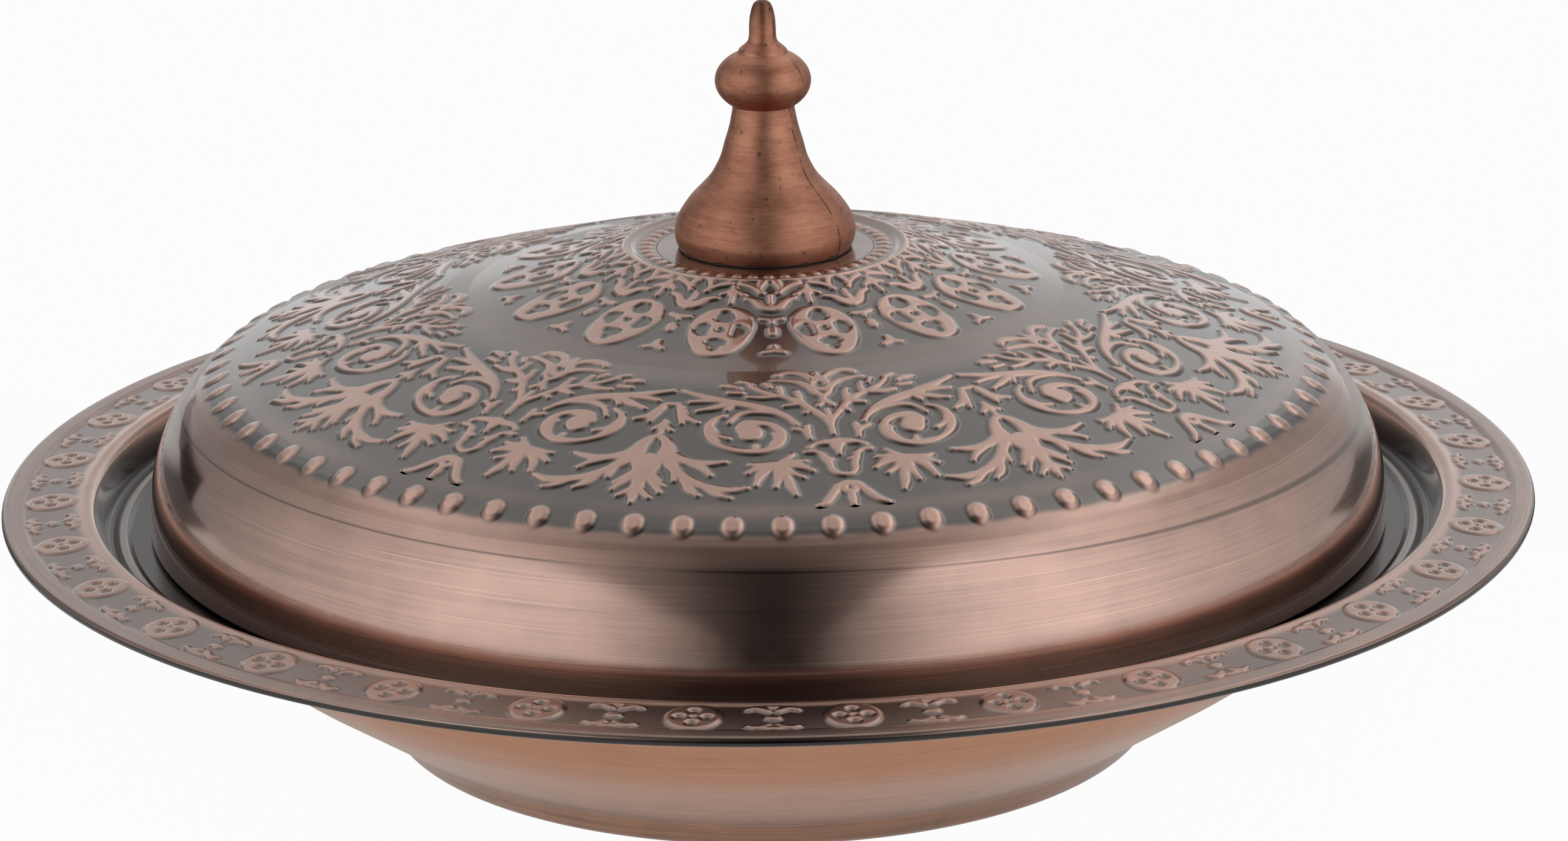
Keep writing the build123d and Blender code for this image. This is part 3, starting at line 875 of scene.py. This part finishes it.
def rim_ground(radius, angle):
    """Dark ground between the two copper borders."""
    return (0.3 + 0.37 * (1 - smooth_step(radius, 130.4, 132.0))
            + 0.16 * smooth_step(radius, 139.6, 140.8))


relief_band("rim_ornament", rim_top, RIM_BAND, 0.3, (0, 360), rim_drawing, rim_ground,
            (0.35, 0.35, 0.4), ON_DISH, rim_copper, 0.64)

# %% [markdown]
# ## The finial
# The knob is one casting: a bell, a neck, a flattened ball and a spike. It came
# out of a two-part mould, so a faint line runs up two opposite sides. It is spun
# from its profile, and the line and the uneven skin are then pushed into it,
# because the eye finds a perfectly round casting too new.

# %% The knob's profile
BELL = [(16.3, 0), (16.9, 1.6), (17.0, 3.4), (16.45, 5.6), (15.2, 7.75), (13.7, 9.7),
        (11.85, 11.6), (10.1, 13.55), (8.95, 15.5), (8.1, 17.4), (7.3, 20.3), (6.5, 23.0),
        (5.85, 26.2)]
BALL_R, BALL_HALF, BALL_Z = 9.0, 6.2, 31.75
SPIKE = [(4.65, 37.1), (4.4, 37.7), (3.5, 38.5), (2.8, 39.2), (2.55, 40.2), (2.5, 41.8),
         (2.4, 43.4), (2.2, 44.5), (1.95, 45.5), (1.5, 46.4), (0.8, 46.85), (0, 46.95)]
NECK_R, SPIKE_R = 5.85, 5.1         # where the ball meets the neck and the spike
SCREW_R, SCREW_DEEP = 2.55, 16.0    # the hole for the screw


def soft_line(points, parts=5):
    """A smooth profile through (radius, height) points."""
    line = smooth_line([(x, y, 0) for x, y in points], parts)
    return [Vector((max(x, 0.0), y)) for x, y, _ in line]


ball = [Vector((BALL_R * math.cos(a), BALL_Z + BALL_HALF * math.sin(a)))
        for a in np.linspace(-math.acos(NECK_R / BALL_R), math.acos(SPIKE_R / BALL_R), 34)]
hole = [Vector((0, SCREW_DEEP)), Vector((SCREW_R, SCREW_DEEP)), Vector((SCREW_R, 0))]
outline = hole + soft_line(BELL) + ball + soft_line(SPIKE)
finial = turned([p + Vector((0, FINIAL_Z)) for p in outline], 160)
print("the knob's profile has", len(outline), "points")


# %% Its mould line and uneven skin
def push_out(bm, from_r, rule):
    """Move each place outside a radius outwards, by its radius, turn and height."""
    for v in bm.verts:
        r = math.hypot(v.co.x, v.co.y)
        if r > from_r:
            push = rule(r, math.atan2(v.co.x, -v.co.y), v.co.z)
            v.co.x *= 1 + push / r
            v.co.y *= 1 + push / r


MOULD_ANGLE = math.radians(55)
SKIN_R = 2.8                # the hole stays round


def cast_skin(r, turn, z):
    """A thin raised line in a flattened strip, and three soft swellings."""
    off = abs(math.sin(turn - MOULD_ANGLE)) * r
    line = 0.05 * math.exp(-(off / 0.28) ** 2)
    flat = -0.05 * math.exp(-(off / 1.6) ** 2)
    uneven = 0.035 * math.sin(3 * turn + z * 0.35) * min(1, (r - SKIN_R) / 4)
    return line + flat + uneven


push_out(finial, SKIN_R, cast_skin)
print("mould line at", round(math.degrees(MOULD_ANGLE)), "degrees")

# %% [markdown]
# The knob is darker and redder than the sheets. It was only wiped after its
# bath, so its rings are broad and blotchy, and dirt stays in the pits and along
# the mould line. The spike is also darker towards its tip. There is hardly any
# lacquer on it.

# %% The cast copper
finial_copper, coords = new_material("finial_cast_copper")
x, y, height = coords.xyz()
rings = lathe_marks(coords, 2.6, 3.0)
bands = lathe_marks(coords, 0.35, 0.8, 2.0)
mottle = cloud(coords, 3.0, 4.0)
cells = coords.node("ShaderNodeTexVoronoi", {}, {"Vector": coords, "Scale": 420.0})
pits = (1 - cells.between(0.1, 0.3)) * cloud(coords, 2.0).between(0.52, 0.62)
wiped = (rings - 0.5) * 0.6 + (bands - 0.5) * 0.7 + (mottle - 0.5) * 0.6 + 0.55
tone = wiped.between(0.1, 0.9).mix((0.34, 0.135, 0.08, 1), (0.62, 0.295, 0.19, 1))
# the spike is darker towards its tip
darker_tip = height.between((FINIAL_Z + 41.5) * MM, (FINIAL_Z + 46.0) * MM)
off = x * math.cos(MOULD_ANGLE) + y * math.sin(MOULD_ANGLE)
seam = (1 - off.size().between(0.00008, 0.0003)) * cloud(coords, 5.0).between(0.42, 0.56)
dirt_and_darker_tip = (darker_tip * 0.6 + pits * 0.6 + seam * 0.8).at_most(1.0)
tone = dirt_and_darker_tip.mix(tone, (0.07, 0.03, 0.02, 1))
skin = bumpy(coords, 0.4, 0.08, rings * 0.7 + mottle * 0.4 - pits * 0.8)
set_surface(coords, Base_Color=tone, Metallic=1.0, Roughness=0.40 + mottle * 0.12,
            Coat_Weight=0.10, Coat_Roughness=0.12, Normal=skin)
finish_piece(finial, "finial_casting", finial_copper, "lid_body", "finial_copper", "finial")

# %% [markdown]
# Under the knob lies a thin black seal. It was squeezed when the screw was
# tightened, so its edge is uneven and shows a few small lumps. It is a flat
# turned ring whose edge is pushed out in the same way as the knob's skin.

# %% The seal
SEAL_R = 16.2
LUMPS = (-62, -33, -12, 9, 27, 51, 78, 130, -140)       # degrees from the front
seal = turned([Vector((r, GASKET_Z + z)) for r, z in (
    (2.8, 0), (SEAL_R, 0), (SEAL_R + .12, .12), (SEAL_R + .12, .23),
    (SEAL_R, .35), (2.8, .35))], 240)


def squeezed(r, turn, z):
    lump = sum(0.30 * math.exp(-((turn - math.radians(a)) * 18) ** 2) for a in LUMPS)
    return 0.08 * math.sin(turn * 9) * math.sin(turn * 23 + 1) + lump


push_out(seal, SEAL_R - 0.5, squeezed)
seal_rubber, coords = new_material("seal_black_rubber")
grain = cloud(coords, 0.4)
set_surface(coords, Base_Color=grain.mix((0.010, 0.008, 0.007, 1), (0.035, 0.026, 0.022, 1)),
            Roughness=0.45 + grain * 0.3, Normal=bumpy(coords, 0.4, 0.05, grain))
finish_piece(seal, "finial_seal", seal_rubber, "lid_body", "gasket", "finial_gasket")

# %% [markdown]
# The screw and its washer are right as they were packed, and are only seen from
# below. They get zinc-plated steel: grey, turned, with a slightly cloudy film.

# %% Steel for the screw and the washer
steel, coords = new_material("zinc_plated_steel")
rings = lathe_marks(coords, 5.0, 2.0)
film = cloud(coords, 2.5)
set_surface(coords, Base_Color=film.mix((0.46, 0.47, 0.48, 1), (0.66, 0.66, 0.64, 1)),
            Metallic=1.0, Roughness=0.28 + rings * 0.15,
            Normal=bumpy(coords, 0.3, 0.03, rings))
for name in ("screw_washer", "finial_screw"):
    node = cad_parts[name]
    node.data.materials.clear()
    node.data.materials.append(steel)
print("steel on the screw and the washer")

# %% [markdown]
# ## The studio
# A polished thing shows its room, so the room is built with care. The dish
# stands on a white table that the camera sees as pure white. In the mirror of
# the copper the table is painted a little darker: painted shade behind the dish,
# and a stripe of painted shade that runs out towards the front, under the gap in
# the screens. Seen from below the table isn't there, so the foot can be looked at.

# %% The table
UNDER_FOOT = -0.1 * MM      # just below the foot, so that the two don't flicker
bm = bmesh.new()
bmesh.ops.create_grid(bm, x_segments=1, y_segments=1, size=2.4,
                      matrix=Matrix.Translation((0, 0, UNDER_FOOT)))
mesh = bpy.data.meshes.new("table")
bm.to_mesh(mesh)
bm.free()
table = bpy.data.objects.new("table", mesh)
bpy.context.scene.collection.objects.link(table)
print("table", round(UNDER_FOOT / MM, 2), "mm from the foot")

# %% How the table shines back
table_white, coords = new_material("table_white")
seen, mirrored, through = coords.node("ShaderNodeLightPath").outputs(
    "Is Camera Ray", "Is Glossy Ray", "Is Transmission Ray")
x, y, _ = coords.xyz()
distance_2 = x * x + y * y                              # square of the way from the axis
outward = y / (x.size() + 0.0001)                       # how far behind the dish
# painted shade on the table, seen mostly in the copper's mirror: darker behind the dish and in
# a stripe towards the front
shade = outward.between(0.50, 0.62) * (1 - outward.between(1.05, 1.35) * 0.75)
shade = shade * distance_2.between(0.027, 0.04)
far = distance_2.between(0.03, 0.08)
sideways = x.size() / (0 - y).at_least(0.0001)          # how far from the line to the front
front_stripe_shade = (1 - sideways.between(0.03, 0.6)) * far
lit = (1 - outward.between(-0.6, 0.5) * 0.45) * (1 - shade * 0.85) * (1 - front_stripe_shade * 0.95)
paper = coords.node("ShaderNodeBsdfDiffuse", {},
                    {"Color": lit.mix((0, 0, 0, 1), (0.8, 0.8, 0.8, 1))})
white = coords.node("ShaderNodeEmission", {}, {"Color": (1, 1, 1, 1), "Strength": 1.0})
glow = (seen + through) * 0.97 + mirrored * lit * (0.42 + far * 0.2)
top = coords.node("ShaderNodeMixShader", {}, {0: glow, 1: paper, 2: white})
below = coords.node("ShaderNodeNewGeometry", output="Backfacing")
nothing = coords.node("ShaderNodeBsdfTransparent")
both = coords.node("ShaderNodeMixShader", {}, {0: below, 1: top, 2: nothing})
coords.node("ShaderNodeOutputMaterial", {}, {"Surface": both})
mesh.materials.append(table_white)
print("the table's material has", len(table_white.node_tree.nodes), "nodes")

# %% [markdown]
# Two tall white screens stand left and right of the table. They are brightest
# a little in front of the dish, where their lamps point, and fade towards a
# narrow dark gap at the front. Above them the ceiling is dim, and it fades to
# dark straight in front. That is what draws the bright sides and the dark wedge
# on the lid's wall. A slit between the left screen and the back wall gives the
# dark strip near the lid's edge. All of this is a rule about directions in the
# world's shader, with no lamps and no screens to model: each patch of the
# copper shows one direction of the room, so each can be set alone.

# %% Directions in the room
SCREEN_LIGHT = [            # (how far along a screen, brightness); front is negative
    (-14, 0.02), (-7, 0.08), (-4.5, 0.20), (-3.3, 0.32), (-2.6, 0.44), (-2.1, 0.59),
    (-1.75, 0.70), (-1.4, 0.84), (-1.1, 0.92), (-0.6, 1.0), (-0.2, 0.73), (0.1, 0.565),
    (0.6, 0.345), (1.2, 0.27), (2.0, 0.40), (2.7, 0.655), (4.2, 0.73),
]
ALONG = 15                  # the ends of that list, in front and behind
world = bpy.data.worlds.new("studio")
bpy.context.scene.world = world
world.use_nodes = True
tree = world.node_tree
tree.nodes.clear()
way = Value(tree, None).node("ShaderNodeTexCoord", output="Generated")
dx, dy, dz = way.xyz()
aside = dx.size() + 0.0001
along = (dy / aside).at_least(-ALONG).at_most(ALONG)    # along a screen, front to back
climb = dz / aside                                      # up a screen
print("directions:", len(tree.nodes), "nodes")

# %% The screens, the ceiling and the slit
stops = [((place + ALONG) / (2 * ALONG), (light, light, light, 1))
         for place, light in SCREEN_LIGHT]
screen = way.node("ShaderNodeValToRGB", {"stops": stops},
                  {"Fac": (along + ALONG) / (2 * ALONG)})
screen = screen.node("ShaderNodeRGBToBW", {}, {0: screen})
behind = dy.between(-0.45, -0.1)
top_edge = dx * 0.8 * (1 - behind) - behind * 0.6 + 1.9
above = (climb / top_edge).between(0.75, 1.15)
slit = along.between(0.86, 0.91) * (1 - along.between(1.4, 1.5) * 0.2) * (
    1 - along.between(2.3, 2.5)) * (1 - climb.between(0.10, 0.20)) * (1 - dx.between(-0.2, 0.0))
ceiling = (aside * aside * 2.0 + 0.03).at_most(aside + 0.06)
ceiling = ceiling + dy.between(-0.25, 0.35) * 0.5
print("screens and ceiling:", len(tree.nodes), "nodes")

# %% The whole room
BRIGHTNESS = 1.1
room = (screen + above * (ceiling - screen)) * BRIGHTNESS
room = room * (1 + dx * (0.06 + 0.2 * dy.between(0.1, 0.7) + 0.25 * above))
room = room * (1 - slit * 0.92)
seen, through = way.node("ShaderNodeLightPath").outputs("Is Camera Ray", "Is Transmission Ray")
seen = seen.at_least(through)                           # the camera sees plain white
background = way.node("ShaderNodeBackground", {},
                      {"Color": (1, 1, 1, 1), "Strength": room + seen * (0.98 - room)})
way.node("ShaderNodeOutputWorld", {}, {"Surface": background})
print("the whole room:", len(tree.nodes), "nodes")

# %% [markdown]
# The camera stands almost a metre away with a long lens, a little above the
# rim, and looks slightly down. From that far the near and the far rim look
# almost equally large. Its three turns are pitch, yaw and a small roll.

# %% Where the camera stands and looks
IMAGE_WIDTH = 2576
FOCAL_PX = 8354.684         # the lens, in pixels of that width
SENSOR = 36.0
DISTANCE = 968.268
PITCH, YAW, ROLL = (math.radians(a) for a in (16.96, 0.472, -0.828))
AIM_X, AIM_Z = -4.83, 58.34
place = Vector((AIM_X, -DISTANCE * math.cos(PITCH), DISTANCE * math.sin(PITCH) + AIM_Z)) * MM
forward = Vector((0, math.cos(PITCH), -math.sin(PITCH)))
right = Vector((1, 0, 0))
up = right.cross(forward)
forward, right = (forward * math.cos(YAW) + right * math.sin(YAW),
                  right * math.cos(YAW) - forward * math.sin(YAW))
right, up = (right * math.cos(ROLL) + up * math.sin(ROLL),
             up * math.cos(ROLL) - right * math.sin(ROLL))
print("camera at", [round(value, 3) for value in place])

# %% The camera
camera = bpy.data.objects.new("camera", bpy.data.cameras.new("camera"))
camera.data.sensor_width = SENSOR
camera.data.lens = FOCAL_PX / IMAGE_WIDTH * SENSOR
camera.data.clip_start = 0.05
camera.matrix_world = Matrix((
    (right.x, up.x, -forward.x, place.x),
    (right.y, up.y, -forward.y, place.y),
    (right.z, up.z, -forward.z, place.z),
    (0, 0, 0, 1)))
bpy.context.scene.collection.objects.link(camera)
bpy.context.scene.camera = camera
bpy.context.scene.view_settings.view_transform = "Standard"
print("lens", round(camera.data.lens, 1), "mm")
